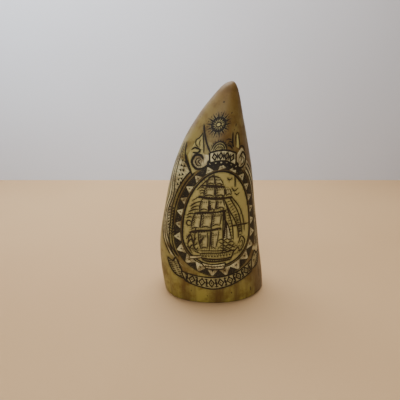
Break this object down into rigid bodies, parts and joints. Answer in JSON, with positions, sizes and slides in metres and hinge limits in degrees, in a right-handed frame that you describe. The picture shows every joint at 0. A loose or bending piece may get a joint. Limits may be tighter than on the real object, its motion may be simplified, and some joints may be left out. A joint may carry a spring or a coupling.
{
  "type": "engraved tooth ornament",
  "caption": "Upright cast resin tooth ornament with an engraved, pigment-filled sailing ship in an oval frame.",
  "frame": {"origin": "middle of the tooth's bounding box, on the surface that its base rests on", "axes": "+Z from the base to the tip, -Y out of the engraved front, +X to the right as the front is seen"},
  "size_m": [0.0649, 0.0504, 0.127],
  "materials": {
    "cast_resin": "polished translucent golden-olive resin, browner at tip and base",
    "filled_resin": "matt mineral-filled casting resin",
    "felt": "dark green pressed felt",
    "ink_line": "wiped-in dark brown-black pigment",
    "ink_ground": "stippled grey-brown pigment ground",
    "ink_ship": "wiped-in warm brown pigment"
  },
  "bodies": {
    "root": {"resin_tooth": "cast_resin", "filler_core": "filled_resin", "base_pad": "felt", "oval_ring": "ink_line", "sawtooth_band": "ink_ground", "sawtooth_dots": "ink_line", "rules_left": "ink_line", "rules_right": "ink_line", "panel_line": "ink_line", "flank_dots": "ink_line", "woven_band": "ink_line", "sunburst": "ink_line", "crest_fan": "ink_line", "pennant_left": "ink_line", "pennant_right": "ink_line", "upper_ribbon": "ink_line", "upper_ornament": "ink_line", "lower_ribbon": "ink_line", "lower_ornament": "ink_line", "scene_ribbon": "ink_line", "ship_hull": "ink_ship", "gun_ports": "ink_ship", "bowsprit": "ink_ship", "masts_and_yards": "ink_ship", "sails": "ink_ship", "rigging": "ink_ship", "waves": "ink_ship", "coast": "ink_ship", "clouds": "ink_ship", "gulls": "ink_ship"}
  },
  "joints": []
}
